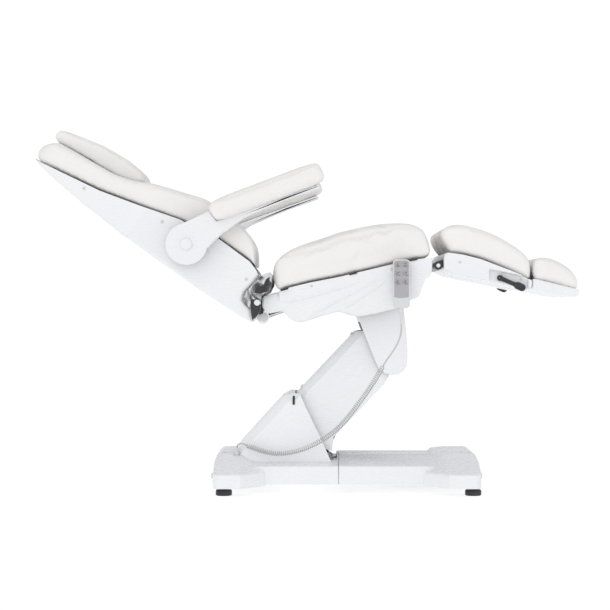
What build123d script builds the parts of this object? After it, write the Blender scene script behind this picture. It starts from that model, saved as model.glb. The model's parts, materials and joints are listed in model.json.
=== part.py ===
from build123d import *
import math
import os

# Electric facial treatment bed with three linear actuators, all sizes in millimetres.
# +X points to the foot end, -X to the head end, -Y is the side that carries the handset.
# The origin is on the floor under the middle of the bed.

os.makedirs("parts", exist_ok=True)

# ---------------------------------------------------------------- driving dimensions
WALL = 4.0                    # moulded cover thickness
RUN = 0.05                    # radial clearance of a pin in its bearing
GAP = 1.0                     # air between neighbouring covers

BASE_HEAD, BASE_FOOT = -281.0, 537.0      # ends of the base
BASE_SPLIT = 103.0                        # seam between the two base covers
BASE_HALF = 290.0                         # half-width of the base over its end pads
BEAM_HALF = 185.0                         # half-width of the base between the pads
BEAM_EAVE, BEAM_TOP = 85.0, 115.0         # side wall top and roof top of the middle
PAD_EAVE, PAD_TOP = 66.0, 126.0           # the same on the end pads
FLAT_HALF = 85.0                          # half-width of the flat strip of the roof
SKIRT = 24.0                              # bottom of the covers above the floor
FOOT_X = (-248.0, 514.0)                  # levelling feet, lengthwise
FOOT_Y = 235.0                            # levelling feet, crosswise

ARM_LENGTH = 410.0                        # pivot to pivot of the lift arm
ARM_ANGLE = 46.5                          # lift arm above the horizontal as drawn
LOWER_PIVOT = (-42.0, 168.0)              # lift arm on the base
LINK_OFFSET = (51.0, -48.0)               # levelling link pivot from the arm pivot
LIFT_MOUNT = (40.0, 95.0)                 # lift actuator on the base
LIFT_ROD_AT = 330.0                       # lift actuator on the arm, along the arm
TILT_PIVOT = (238.0, 512.0)               # seat on the carriage
TILT_HORN = (238.0, 572.0)                # tilt actuator on the carriage
TILT_MOUNT = (-30.0, 596.0)               # tilt actuator on the seat frame
BACK_PIVOT = (-146.0, 590.0)              # backrest on the seat frame
BACK_ANGLE = 36.3                         # backrest above the horizontal as drawn
BACK_LEVER, BACK_LEVER_ANGLE = 50.0, -75.0
BACK_MOUNT = (150.0, 640.0)               # back actuator on the seat frame
LEG_PIVOT = (405.0, 702.0)                # leg rests on the seat frame
LEG_SLOPE = 11.0                          # underside of the leg rests below horizontal
ARMREST_PIVOT = (-357.0, 765.0)           # armrests on the backrest

SEAT_HALF = 290.0                         # half-width of the cushions
PAN_HALF, PAN_FLOOR_HALF = 285.0, 240.0   # seat pan at its rim and at its floor
COLUMN_HALF = 150.0                       # column cover and carriage cover
ARM_COVER_HALF = 125.0                    # lift arm cover
LEG_INNER, LEG_OUTER = 12.0, 288.0        # each leg rest, from the middle outwards

# lanes of the mechanism, crosswise from the middle
BEARING_Y = (58.0, 66.0)                  # bearing plates of the base and the carriage
RAIL_Y = (74.0, 104.0)                    # rails of the lift arm
LINK_Y = (25.0, 45.0)                     # levelling link
LIFT_Y = -12.0                            # lift actuator
TILT_Y, BACK_Y = -35.0, 35.0              # tilt and back actuators
HINGE_ARM_Y = (150.0, 158.0)              # seat arms that carry the back hinge tube
BACK_ARM_Y = (200.0, 208.0)               # backrest arms on the hinge tube


# ---------------------------------------------------------------- helpers
def polar(start, angle, length):
    """The point at a distance from start, angle in degrees above +X, in the XZ plane."""
    turn = math.radians(angle)
    return (start[0] + length * math.cos(turn), start[1] + length * math.sin(turn))


def slab(outline, y0, y1, radius=0.0):
    """A plate with the given XZ outline, from y0 to y1, its corners rounded if asked."""
    if radius:
        edge = FilletPolyline(*outline, radius=radius, close=True)
    else:
        edge = Polyline(*outline, close=True)
    return extrude(Plane.XZ.offset(-y1) * make_face(edge), amount=y1 - y0)


def prism_x(outline, x0, x1):
    """A bar along X with the given YZ outline."""
    return extrude(Plane.YZ.offset(x0) * make_face(Polyline(*outline, close=True)), amount=x1 - x0)


def rod_y(at, radius, y0, y1):
    """A round bar along Y centred on an XZ point."""
    return Pos(at[0], (y0 + y1) / 2, at[1]) * Rot(90, 0, 0) * Cylinder(radius, y1 - y0)


def bar_between(start, end, radius, y):
    """A round bar between two XZ points at one crosswise place."""
    length = math.dist(start, end)
    angle = math.degrees(math.atan2(end[1] - start[1], end[0] - start[0]))
    middle = polar(start, angle, length / 2)
    return Pos(middle[0], y, middle[1]) * Rot(0, 90 - angle, 0) * Cylinder(radius, length)


def strip(start, end, half, y0, y1):
    """A flat link with rounded ends between two XZ points."""
    angle = math.degrees(math.atan2(end[1] - start[1], end[0] - start[0]))
    corners = [
        polar(start, angle + 90, half), polar(end, angle + 90, half),
        polar(end, angle - 90, half), polar(start, angle - 90, half),
    ]
    return slab(corners, y0, y1) + rod_y(start, half, y0, y1) + rod_y(end, half, y0, y1)


def lane(limits, side):
    """A lane's crosswise limits on one side of the bed: side is 1 or -1."""
    return (limits[0], limits[1]) if side > 0 else (-limits[1], -limits[0])


def inside_of(outline, y0, y1):
    """The hollow of a moulded cover: its XZ outline drawn in by the wall, from y0 to y1."""
    hollow = offset(make_face(Polyline(*outline, close=True)), amount=-WALL,
                    kind=Kind.INTERSECTION)
    return extrude(Plane.XZ.offset(-y1) * hollow, amount=y1 - y0)


def raised(rim, dx=0.0, dz=80.0):
    """A rim moved up, so that the hollow below it comes out open at the rim."""
    return [(x + dx, z + dz) for x, z in rim]


def soften(shape, radius):
    """Rounds the two side rims of a cushion."""
    ends = shape.faces().sort_by(Axis.Y)
    return fillet(ends[0].edges() + ends[-1].edges(), radius)


def actuator(mount, rod_end, y, tube_radius, tube_end, rod_radius, rod_start, eye, hole):
    """A linear actuator's motor tube and its rod; the rod runs inside the tube."""
    length = math.dist(mount, rod_end)
    angle = math.degrees(math.atan2(rod_end[1] - mount[1], rod_end[0] - mount[0]))
    reach = [polar(mount, angle, s) for s in (18, tube_end, rod_start, length)]
    tube = bar_between(reach[0], reach[1], tube_radius, y)
    tube -= bar_between(polar(mount, angle, 28), polar(mount, angle, tube_end + 1),
                        rod_radius + RUN, y)
    tube += rod_y(mount, 13, y - 10, y + 10) + slab(
        [polar(polar(mount, angle, s), angle + 90, h) for s, h in
         ((0, 10), (22, 10), (22, -10), (0, -10))], y - 10, y + 10)
    gearbox = Pos(*([polar(mount, angle, 48)[0], y, polar(mount, angle, 48)[1]])) * Rot(
        0, -angle, 0) * Box(46, 2 * tube_radius, 2 * tube_radius)
    tube += gearbox - bar_between(mount, polar(mount, angle, tube_end + 1), rod_radius + 1, y)
    tube -= rod_y(mount, 6, y - 11, y + 11)
    rod = bar_between(reach[2], polar(mount, angle, length - eye + 2), rod_radius, y)
    rod += rod_y(rod_end, eye, y - rod_radius - 1.5, y + rod_radius + 1.5)
    rod -= rod_y(rod_end, hole, y - 14, y + 14)
    return tube, rod


def save(shape, node):
    """Writes one node's solids."""
    export_step(shape if isinstance(shape, Compound) else Compound(children=[shape]),
                f"parts/{node}.step")


# ---------------------------------------------------------------- places worked out
UPPER_PIVOT = polar(LOWER_PIVOT, ARM_ANGLE, ARM_LENGTH)
LINK_LOWER = (LOWER_PIVOT[0] + LINK_OFFSET[0], LOWER_PIVOT[1] + LINK_OFFSET[1])
LINK_UPPER = (UPPER_PIVOT[0] + LINK_OFFSET[0], UPPER_PIVOT[1] + LINK_OFFSET[1])
LIFT_ROD_END = polar(LOWER_PIVOT, ARM_ANGLE, LIFT_ROD_AT)
BACK_ROD_END = polar(BACK_PIVOT, BACK_LEVER_ANGLE, BACK_LEVER)


def along_arm(s, n):
    """A point s along the lift arm and n below its centre line."""
    return polar(polar(LOWER_PIVOT, ARM_ANGLE, s), ARM_ANGLE - 90, n)


def along_back(u, n):
    """A point u up the backrest from its pivot and n out of its front."""
    return polar(polar(BACK_PIVOT, 180 - BACK_ANGLE, u), 90 - BACK_ANGLE, n)


def along_leg(s, n, start=LEG_PIVOT):
    """A point s down the leg rest from its pivot and n above its line."""
    return polar(polar(start, -LEG_SLOPE, s), 90 - LEG_SLOPE, n)


# ---------------------------------------------------------------- base covers
WELL_HALF = 130.0                         # opening that the lift arm folds into
WELL_X = (-90.0, 100.0)
PAD_TOP_HALF, PAD_TOP_INSET = 120.0, 22.0  # flat top of an end pad, and how far it is set in
# levels of an end pad: height, how far its sides and its end have moved in (0 to 1)
PAD_LEVELS = ((PAD_EAVE, 0.0, 0.0), (100.0, 0.6, 0.08), (119.0, 0.86, 0.42), (PAD_TOP, 1.0, 1.0))
PAD_FLARE = 75.0                          # length over which a pad widens from the beam
BEAM_LIFT = 5.0                           # the beam's skirt is this much higher than the pads'


def pad_sections(end, inward, depth, inset):
    """Plans of an end pad at its levels, with their heights; inward is 1 or -1."""
    half, flat, side = BEAM_HALF - inset, FLAT_HALF - inset / 2, BASE_HALF - inset
    outer, inner = inset, depth - inset
    top_half, top_outer = PAD_TOP_HALF - inset, PAD_TOP_INSET + inset
    low = [(outer, side - 25), (outer + 12, side), (inner, side), (inner + PAD_FLARE, half)]
    top = [(top_outer, top_half - 10), (top_outer + 4, top_half), (inner, top_half),
           (inner + 40, flat * 0.8)]
    for z, side_share, end_share in PAD_LEVELS:
        shares = (end_share, end_share, side_share, side_share)
        half_plan = [(a[0] + (b[0] - a[0]) * share, a[1] + (b[1] - a[1]) * side_share)
                     for a, b, share in zip(low, top, shares)]
        plan = [(end + inward * x, -y) for x, y in half_plan]
        plan += [(end + inward * x, y) for x, y in reversed(half_plan)]
        yield (z - (inset / 2 if z == PAD_EAVE else inset)), plan


def base_solid(inset):
    """The base's outer form, drawn in by inset on every side; its bottom stays low."""
    low = SKIRT - 2 * inset
    half, flat = BEAM_HALF - inset, FLAT_HALF - inset / 2
    solid = prism_x([(-half, low + BEAM_LIFT), (half, low + BEAM_LIFT),
                     (half, BEAM_EAVE - inset / 2), (flat, BEAM_TOP - inset),
                     (-flat, BEAM_TOP - inset), (-half, BEAM_EAVE - inset / 2)],
                    BASE_HEAD + 40, BASE_FOOT - 40)
    for end, inward, depth in ((BASE_HEAD, 1, 84), (BASE_FOOT, -1, 97)):
        levels = [(z, make_face(Polyline(*plan, close=True)))
                  for z, plan in pad_sections(end, inward, depth, inset)]
        solid += extrude(Plane.XY.offset(low) * levels[0][1], amount=levels[0][0] - low)
        solid += loft([Plane.XY.offset(z) * face for z, face in levels], ruled=True)
    return solid


RIM_HALF = WELL_HALF + WALL
coaming = Pos((WELL_X[0] + WELL_X[1]) / 2, 0, (60 + BEAM_TOP) / 2) * Box(
    WELL_X[1] - WELL_X[0] + 2 * WALL, 2 * RIM_HALF, BEAM_TOP - 60)
well = Pos((WELL_X[0] + WELL_X[1]) / 2, 0, 150) * Box(
    WELL_X[1] - WELL_X[0], 2 * WELL_HALF, 220)
base_shell = base_solid(0) - base_solid(WALL)
coaming &= base_solid(0)
base_shell = base_shell + coaming - well
# the rim of the well keeps only its wall, so the covers stay hollow under it
inside = base_solid(WALL) - Pos((WELL_X[0] + WELL_X[1]) / 2, 0, 150) * Box(
    WELL_X[1] - WELL_X[0] + 2 * WALL, 2 * RIM_HALF, 300)
base_shell -= inside

INLET_X, INLET_Z = 330.0, 71.0            # mains inlet on the far side
inlet_cut = Pos(INLET_X, BEAM_HALF, INLET_Z) * Box(46.6, 30, 24.6)
base_shell -= inlet_cut
GLAND = (-212.0, -150.0, 142.0)           # top of the cord gland on the base
base_shell -= Pos(GLAND[0], GLAND[1], GLAND[2] - 20) * Cylinder(7.2, 70)
SCREW_Y, SCREW_Z = (-200.0, 200.0), 57.0  # screws that hold the covers at both ends
SCREW_CAP, SCREW_SHANK = 8.5, 4.0          # radii of a screw's cap and shank
SCREW_PROUD = 7.0                         # how far a cap stands out of the cover
for x in (BASE_HEAD, BASE_FOOT):
    for y in SCREW_Y:
        base_shell -= Pos(x, y, SCREW_Z) * Rot(0, 90, 0) * Cylinder(SCREW_SHANK, 20)
split_half = Pos(BASE_SPLIT - 500 - GAP / 2, 0, 200) * Box(1000, 800, 600)
save(base_shell & split_half, "base_cover_head")
save(base_shell & Pos(1000 + GAP, 0, 0) * split_half, "base_cover_foot")


# ---------------------------------------------------------------- base steelwork
RAIL_BASE_Y = (138.0, 168.0)              # long rails of the base frame, crosswise
RAIL_BASE_Z = (34.0, 57.0)                # and in height
frame = None
for side in (1, -1):
    y0, y1 = lane(RAIL_BASE_Y, side)
    rail = slab([(FOOT_X[0], RAIL_BASE_Z[0]), (FOOT_X[1], RAIL_BASE_Z[0]),
                 (FOOT_X[1], RAIL_BASE_Z[1]), (FOOT_X[0], RAIL_BASE_Z[1])], y0, y1)
    frame = rail if frame is None else frame + rail
for x in FOOT_X:
    frame += Pos(x, 0, 50) * Box(36, 2 * FOOT_Y + 40, 12)
    for y in (-FOOT_Y, FOOT_Y):
        frame -= Pos(x, y, 50) * Cylinder(6 + RUN, 30)
# floor plate of the lift mechanism with the bearing plates standing on it
frame += Pos(15, 0, 47) * Box(210, 2 * RAIL_BASE_Y[0] + 4, 6)
for side in (1, -1):
    y0, y1 = lane(BEARING_Y, side)
    cheek = slab([(-78, 48), (92, 48), (88, 108), (36, 138), (-26, 192), (-58, 192), (-72, 168)],
                 y0, y1)
    frame += cheek - rod_y(LOWER_PIVOT, 12, y0, y1) - rod_y(LINK_LOWER, 8, y0, y1)
for y in (LIFT_Y - 19, LIFT_Y + 11):
    frame += slab([(LIFT_MOUNT[0] - 23, 48), (LIFT_MOUNT[0] + 27, 48), (LIFT_MOUNT[0] + 11, 108),
                   (LIFT_MOUNT[0] - 11, 108)], y, y + 8)
frame -= rod_y(LIFT_MOUNT, 6, LIFT_Y - 20, LIFT_Y + 20)
save(frame, "base_frame")

pins = rod_y(LOWER_PIVOT, 12, -RAIL_Y[1] - 4, RAIL_Y[1] + 4)
pins += rod_y(LINK_LOWER, 8, -BEARING_Y[1] - 3, BEARING_Y[1] + 3)
pins += rod_y(LIFT_MOUNT, 6 - RUN, LIFT_Y - 22, LIFT_Y + 22)
save(pins, "base_pivot_pins")

FOOT_NAMES = {(0, -1): "head_near", (0, 1): "head_far", (1, -1): "foot_near", (1, 1): "foot_far"}
for (end, side), name in FOOT_NAMES.items():
    pad = Cylinder(25, 19, align=(Align.CENTER, Align.CENTER, Align.MIN))
    pad = fillet(pad.edges().sort_by(Axis.Z)[-1], 6)
    pad = chamfer(pad.edges().sort_by(Axis.Z)[0], 3)
    foot = pad + Pos(0, 0, 18) * Cylinder(11, 5, align=(Align.CENTER, Align.CENTER, Align.MIN))
    foot += Cylinder(6, 66, align=(Align.CENTER, Align.CENTER, Align.MIN))
    save(Pos(FOOT_X[end], side * FOOT_Y, 0) * foot, f"levelling_foot_{name}")

screws = None
for x, outward in ((BASE_HEAD, -1), (BASE_FOOT, 1)):
    for y in SCREW_Y:
        cap = Pos(x + outward * SCREW_PROUD / 2, y, SCREW_Z) * Rot(0, 90, 0) * Cylinder(
            SCREW_CAP, SCREW_PROUD)
        shank = Pos(x - outward * WALL / 2, y, SCREW_Z) * Rot(0, 90, 0) * Cylinder(
            SCREW_SHANK, WALL)
        one = chamfer(cap.edges().sort_by(Axis.X)[0 if outward < 0 else -1], 1.5) + shank
        screws = one if screws is None else screws + one
save(screws, "cover_screws")

control = Pos(INLET_X, 78, 76) * Box(150, 90, 32)
control += Pos(INLET_X, (120 + BEAM_HALF) / 2, INLET_Z) * Box(46, BEAM_HALF - 120, 24)
control -= Pos(INLET_X, BEAM_HALF, INLET_Z) * Box(27, 34, 17)
for pin_x in (-7, 0, 7):
    control += Pos(INLET_X + pin_x, BEAM_HALF - 14, INLET_Z) * Box(2, 12, 5)
save(control, "control_box")

# column cover: a shroud open at the bottom and towards the foot end
column_outline = [(-241, 80), (-204, 148), (-68, 297), (-44, 309), (-15, 306),
                  (6, 257), (47, 174), (88, 80)]
column = slab(column_outline, -COLUMN_HALF, COLUMN_HALF)
# the back edges of the sides are cut off at a slant
back_edges = (column.edges().filter_by(lambda e: abs(e.center().Y) > COLUMN_HALF - 1)
              .filter_by(lambda e: e.center().X < -50 and 180 < e.center().Z < 308))
column = chamfer(back_edges, 24)
cavity_outline = [(-241 + 8, 70), (-204 + 4, 145), (-68 + 3, 292), (-44 + 1, 304), (60, 336),
                  (166, 70)]
cavity = slab(cavity_outline, -COLUMN_HALF + WALL, COLUMN_HALF - WALL)
cavity_edges = (cavity.edges().filter_by(lambda e: abs(e.center().Y) > COLUMN_HALF - 6)
                .filter_by(lambda e: e.center().X < -50 and 180 < e.center().Z < 306))
cavity = chamfer(cavity_edges, 24)
column = column - cavity - base_solid(-0.3) - coaming
save(column, "column_cover")

gland = Pos(GLAND[0], GLAND[1], GLAND[2] - 24) * Cylinder(7, 30)
gland += Pos(GLAND[0], GLAND[1], GLAND[2] - 5) * Cone(7, 5.4, 10)
gland += Pos(GLAND[0], GLAND[1], GLAND[2] - 18) * Cylinder(10, 7)
gland -= Pos(GLAND[0], GLAND[1], GLAND[2]) * Cylinder(4.2, 12)
save(gland, "cord_gland")


# ---------------------------------------------------------------- lift arm and its cover
RAIL_HALF = 22.0                          # half-depth of the arm's rails
ARM_COVER_DEPTH = 82.5                    # cover's top surface from the arm's centre line
ARM_COVER_UNDER = 93.0                    # its underside from the same line


def arm_box(s0, s1, n0, n1, y0, y1):
    """A block in the lift arm's own directions."""
    return slab([along_arm(s0, n0), along_arm(s1, n0), along_arm(s1, n1), along_arm(s0, n1)],
                y0, y1)


arm = None
for side in (1, -1):
    y0, y1 = lane(RAIL_Y, side)
    rail = strip(LOWER_PIVOT, UPPER_PIVOT, RAIL_HALF, y0, y1)
    rail -= rod_y(LOWER_PIVOT, 12 + RUN, y0, y1) + rod_y(UPPER_PIVOT, 12 + RUN, y0, y1)
    arm = rail if arm is None else arm + rail
arm += arm_box(130, 330, -RAIL_HALF, 6 - RAIL_HALF, -RAIL_Y[0] - 1, RAIL_Y[0] + 1)
arm -= arm_box(300, 331, -30, 0, LIFT_Y - 12, LIFT_Y + 12)      # room for the actuator's eye
for y in (LIFT_Y - 19, LIFT_Y + 11):
    arm += arm_box(312, 348, -RAIL_HALF, 0, y, y + 8) + rod_y(LIFT_ROD_END, 18, y, y + 8)
arm += rod_y(LIFT_ROD_END, 7, LIFT_Y - 19, LIFT_Y + 19)
# brackets that carry the cover
for s in (150, 300):
    for side in (1, -1):
        y0, y1 = lane((RAIL_Y[1] - 1, ARM_COVER_HALF - WALL - 0.5), side)
        arm += arm_box(s, s + 20, -12, 12, y0, y1)
save(arm, "lift_arm")

COVER_TOP = 396.0                         # upper end of the cover, along the arm
cover = slab([along_arm(60, -ARM_COVER_DEPTH + 1), along_arm(118, -ARM_COVER_DEPTH),
              along_arm(COVER_TOP - 16, -ARM_COVER_DEPTH), along_arm(COVER_TOP, -ARM_COVER_DEPTH + 16),
              along_arm(COVER_TOP, 60), along_arm(350, ARM_COVER_UNDER - 6),
              along_arm(322, ARM_COVER_UNDER), along_arm(93, ARM_COVER_UNDER), along_arm(56, 119),
              along_arm(36, 70), along_arm(30, -40)],
             -ARM_COVER_HALF, ARM_COVER_HALF)
long_edges = cover.edges().filter_by(
    lambda e: abs(e.center().Y) > ARM_COVER_HALF - 1 and e.length > 200)
cover = chamfer(long_edges.sort_by(Axis.X)[:2], 22)
bore = slab([along_arm(0, -ARM_COVER_DEPTH + 9), along_arm(118, -ARM_COVER_DEPTH + WALL),
             along_arm(COVER_TOP + 60, -ARM_COVER_DEPTH + WALL), along_arm(COVER_TOP + 60, 50),
             along_arm(348, ARM_COVER_UNDER - 6 - WALL), along_arm(321, ARM_COVER_UNDER - WALL),
             along_arm(92, ARM_COVER_UNDER - WALL), along_arm(50, 119), along_arm(30, 130),
             along_arm(0, 60)],
            -ARM_COVER_HALF + WALL, ARM_COVER_HALF - WALL)
bore_edges = bore.edges().filter_by(
    lambda e: abs(e.center().Y) > ARM_COVER_HALF - 6 and e.length > 200).sort_by(Axis.X)[:2]
bore = chamfer(bore_edges, 21)
cover -= bore
# the underside stays open where the bearing plates, the actuator and the link pass
cover -= arm_box(0, 235, 40, 140, -72, 72)
cover -= arm_box(300, 420, 40, 140, LINK_Y[0] - 5, LINK_Y[1] + 5)
save(cover, "lift_arm_cover")

link = strip(LINK_LOWER, LINK_UPPER, 11, *LINK_Y)
link -= rod_y(LINK_LOWER, 8 + RUN, *LINK_Y) + rod_y(LINK_UPPER, 8 + RUN, *LINK_Y)
save(link, "level_link")

motor, rod = actuator(LIFT_MOUNT, LIFT_ROD_END, LIFT_Y, 20, 205, 9, 118, 15, 11.5)
save(motor, "lift_motor")
save(rod, "lift_rod")

# ---------------------------------------------------------------- carriage
carriage = None
for side in (1, -1):
    y0, y1 = lane(BEARING_Y, side)
    cheek = slab([(212, 450), (225, 440), (272, 404), (290, 396), (303, 408), (303, 428),
                  (292, 520), (256, 580), (248, 588), (228, 588), (218, 578), (208, 500)], y0, y1)
    cheek -= rod_y(UPPER_PIVOT, 12, y0, y1) + rod_y(LINK_UPPER, 8, y0, y1)
    cheek -= rod_y(TILT_PIVOT, 8, y0, y1) + rod_y(TILT_HORN, 6, y0, y1)
    carriage = cheek if carriage is None else carriage + cheek
carriage += slab([(262, 496), (284, 496), (284, 504), (262, 504)], -BEARING_Y[0] - 1,
                 BEARING_Y[0] + 1)
carriage += slab([(284, 440), (290, 440), (290, 500), (284, 500)], -BEARING_Y[0] - 1,
                 BEARING_Y[0] + 1)
for side in (1, -1):
    y0, y1 = lane((BEARING_Y[1] - 1, COLUMN_HALF - WALL - 0.5), side)
    carriage += slab([(274, 520), (291, 520), (287, 531), (274, 531)], y0, y1)
save(carriage, "carriage")

pins = rod_y(UPPER_PIVOT, 12, -RAIL_Y[1] - 4, RAIL_Y[1] + 4)
pins += rod_y(LINK_UPPER, 8, -BEARING_Y[1] - 3, BEARING_Y[1] + 3)
pins += rod_y(TILT_PIVOT, 8, -84, 84)
pins += rod_y(TILT_HORN, 6, -BEARING_Y[1] - 3, BEARING_Y[1] + 3)
save(pins, "carriage_pins")

# the cover's walls reach up through the opening of the seat pan
shroud_outline = [(150, 587), (175, 516), (216, 412), (229, 384), (248, 370), (268, 365),
                  (290, 368), (305, 377), (317, 398), (318, 446), (313, 510), (304, 587)]
shroud_hollow = [(136, 640), (179, 516), (220, 414), (232, 387), (250, 374), (268, 369),
                 (288, 372), (302, 380), (313, 399), (314, 446), (309, 510), (300, 587),
                 (294, 640)]
shroud = slab(shroud_outline, -COLUMN_HALF, COLUMN_HALF)
shroud -= slab(shroud_hollow, -COLUMN_HALF + WALL, COLUMN_HALF - WALL)
# the side towards the arm is open between the side walls
shroud -= slab([(100, 640), (150, 500), (180, 430), (216, 350), (312, 350), (300, 388),
                (268, 388), (238, 400), (222, 430), (186, 521), (160, 600), (150, 640)],
               -135, 135)
save(shroud, "carriage_cover")

motor, rod = actuator(TILT_MOUNT, TILT_HORN, TILT_Y, 16, 190, 7, 105, 14, 7.5)
save(motor, "tilt_motor")
save(rod, "tilt_rod")

# ---------------------------------------------------------------- seat
cushion_top = [(-101, 650), (-101, 690), (-95, 711), (-76, 729), (-46, 747), (-15, 761),
               (46, 781), (107, 802), (168, 816), (229, 827), (290, 830), (326, 828),
               (351, 820), (366, 808), (379, 775), (387, 746)]
cushion_bottom = [(384, 727), (335, 721), (274, 709), (198, 690), (107, 669), (15, 651),
                  (-61, 633), (-86, 623)]
cushion = soften(slab(cushion_top + cushion_bottom, -SEAT_HALF, SEAT_HALF), 12)
save(cushion, "seat_cushion")

SEAT_PLATE = [(-60, 619.5), (372, 719), (372, 725), (-60, 625.5)]
frame = slab(SEAT_PLATE, -215, 215)
for side in (1, -1):
    y0, y1 = lane((70, 78), side)
    frame += slab([(200, 680), (300, 702), (252, 505), (238, 498), (224, 505)], y0, y1)
    frame += rod_y(TILT_PIVOT, 16, y0, y1) - rod_y(TILT_PIVOT, 8 + RUN, y0, y1)
    frame -= rod_y(TILT_PIVOT, 8 + RUN, y0, y1)
    for lug in ((90, 110), (190, 210)):
        y0, y1 = lane(lug, side)
        frame += slab([(330, 711), (372, 724), (405, 715), (405, 689), (372, 700)], y0, y1)
        frame += rod_y(LEG_PIVOT, 13, y0, y1)
        frame -= rod_y(LEG_PIVOT, 6, y0, y1)
    y0, y1 = lane(HINGE_ARM_Y, side)
    frame += slab([(-60, 622), (-20, 631), (-50, 588), (-146, 576), (-160, 590), (-146, 604),
                   (-90, 612)], y0, y1)
    # polished plate that closes the gap between the backrest and the seat pan
    y0, y1 = lane((SEAT_HALF + 2, SEAT_HALF + 6), side)
    plate_outline = [(-106, 682), (-98, 674), (-102, 644), (-113, 622), (-131, 611),
                     (-134, 583), (-134, 561), (-146, 549), (-156, 528), (-168, 573),
                     (-189, 598), (-183, 619), (-152, 650), (-128, 674)]
    frame += slab(plate_outline, y0, y1)
frame += rod_y(BACK_PIVOT, 12, -SEAT_HALF - 3, SEAT_HALF + 3)
for y in (TILT_Y - 20, TILT_Y + 12):
    frame += slab([(-50, 622), (-10, 631), (-18, 590), (-30, 584), (-42, 590)], y, y + 8)
frame -= rod_y(TILT_MOUNT, 6, TILT_Y - 24, TILT_Y + 24)
for y in (BACK_Y - 20, BACK_Y + 12):
    frame += slab([(128, 663), (172, 673), (162, 634), (150, 628), (138, 634)], y, y + 8)
frame -= rod_y(BACK_MOUNT, 6, BACK_Y - 24, BACK_Y + 24)
save(frame, "seat_frame")

pins = rod_y(TILT_MOUNT, 6 - RUN, TILT_Y - 22, TILT_Y + 22)
pins += rod_y(BACK_MOUNT, 6 - RUN, BACK_Y - 22, BACK_Y + 22)
for side in (1, -1):
    y0, y1 = lane((24, 276), side)
    pins += rod_y(LEG_PIVOT, 6, y0, y1)
    y0, y1 = lane((SEAT_HALF + 6, SEAT_HALF + 11), side)
    pins += rod_y((-145, 589), 9, y0, y1)
save(pins, "seat_pins")


def pan_section(inset):
    """Crosswise section of the seat pan: sides lean in towards the floor."""
    top, low = PAN_HALF - inset, PAN_FLOOR_HALF - inset
    return [(-low, 500 + inset / 2), (low, 500 + inset / 2), (low, 528), (top, 650), (top, 900),
            (-top, 900), (-top, 650), (-low, 528)]


pan_lower = [(-70, 564), (-43, 537), (-21, 528), (0, 531), (46, 546), (98, 561), (122, 557),
             (159, 546), (210, 554), (274, 570), (320, 595), (348, 607), (354, 628), (366, 662),
             (381, 668), (386, 689), (387, 726)]
pan_upper = [(384, 726), (335, 720), (274, 708), (198, 689), (107, 668), (15, 650),
             (-61, 632), (-84, 622), (-78, 600)]
pan = slab(pan_lower + pan_upper, -400, 400) & prism_x(pan_section(0), -900, 900)
pan -= inside_of(pan_lower + raised(pan_upper), -400, 400) & prism_x(pan_section(WALL), -900, 900)
pan -= Pos(238, 0, 560) * Box(236, 330, 90)              # opening for the carriage
HINGE_COVER = [(-131, 606), (-131, 575), (-113, 555), (-66, 564), (-66, 620), (-92, 620)]
HINGE_HOLLOW = [(-127, 602), (-127, 577), (-111, 559), (-40, 568), (-40, 616), (-90, 616)]
hinge_cover = slab(HINGE_COVER, -140, 140) - slab(HINGE_HOLLOW, -136, 136)
pan = pan - Pos(-64, 0, 592) * Box(30, 272, 56) + hinge_cover
for side in (1, -1):                                     # hollow caps outside the hinge arms
    cap = slab(HINGE_COVER, *lane((214, 262), side)) & prism_x(pan_section(0), -200, 0)
    hollow = slab(HINGE_HOLLOW, *lane((200, 258), side)) & prism_x(pan_section(WALL), -200, 0)
    pan += cap - hollow
pan -= Pos(-70, BACK_Y, 575) * Box(140, 64, 90)          # slot for the back actuator
for side in (1, -1):
    pan -= Pos(-76, side * 154, 600) * Box(40, 14, 70)   # slots for the hinge arms
    for lug in (100, 200):
        pan -= Pos(384, side * lug, 704) * Box(24, 26, 50)
save(pan, "seat_pan")

motor, rod = actuator(BACK_MOUNT, BACK_ROD_END, BACK_Y, 16, 195, 7, 95, 20, 13.5)
save(motor, "back_motor")
save(rod, "back_rod")


# ---------------------------------------------------------------- backrest
back_front = [(-833, 1052), (-814, 1077), (-787, 1084), (-763, 1080), (-702, 1046), (-641, 1010),
              (-580, 976), (-519, 958), (-473, 952), (-427, 939), (-366, 921), (-305, 903),
              (-244, 866), (-198, 827), (-164, 787), (-151, 755), (-152, 722), (-151, 700),
              (-143, 682)]
back_seam = [(-148, 688), (-168, 714), (-259, 781), (-381, 842), (-503, 884), (-625, 930),
             (-747, 988), (-821, 1025)]
back_rear = [(-830, 1034), (-814, 1010), (-778, 976), (-686, 897), (-564, 802), (-442, 714),
             (-320, 628), (-198, 549), (-159, 528), (-168, 573), (-180, 583), (-189, 598),
             (-184, 619), (-162, 645), (-141, 672)]
BACK_PLANE = Plane(origin=(BACK_PIVOT[0], 0, BACK_PIVOT[1]),
                   x_dir=(-math.cos(math.radians(BACK_ANGLE)), 0, math.sin(math.radians(BACK_ANGLE))),
                   z_dir=(math.sin(math.radians(BACK_ANGLE)), 0, math.cos(math.radians(BACK_ANGLE))))


def back_plan(inset):
    """The backrest seen square on: parallel sides that narrow towards the head."""
    wide, narrow, top = SEAT_HALF - inset, 215 - inset, 836 - inset
    outline = FilletPolyline((-260, -wide), (-260, wide), (440, wide), (top, narrow),
                             (top, -narrow), (440, -wide), radius=62 - inset, close=True)
    return extrude(BACK_PLANE.offset(-400) * make_face(outline), amount=800)


cushion = slab(back_front + [(x, z + 0.6) for x, z in back_seam], -SEAT_HALF, SEAT_HALF)
cushion &= back_plan(0)
save(cushion, "back_cushion")

shell = slab(back_rear + back_seam, -SEAT_HALF, SEAT_HALF) & back_plan(1.5)
shell -= inside_of(back_rear + raised(back_seam, 50, 68), -400, 400) & back_plan(1.5 + WALL)


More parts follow.
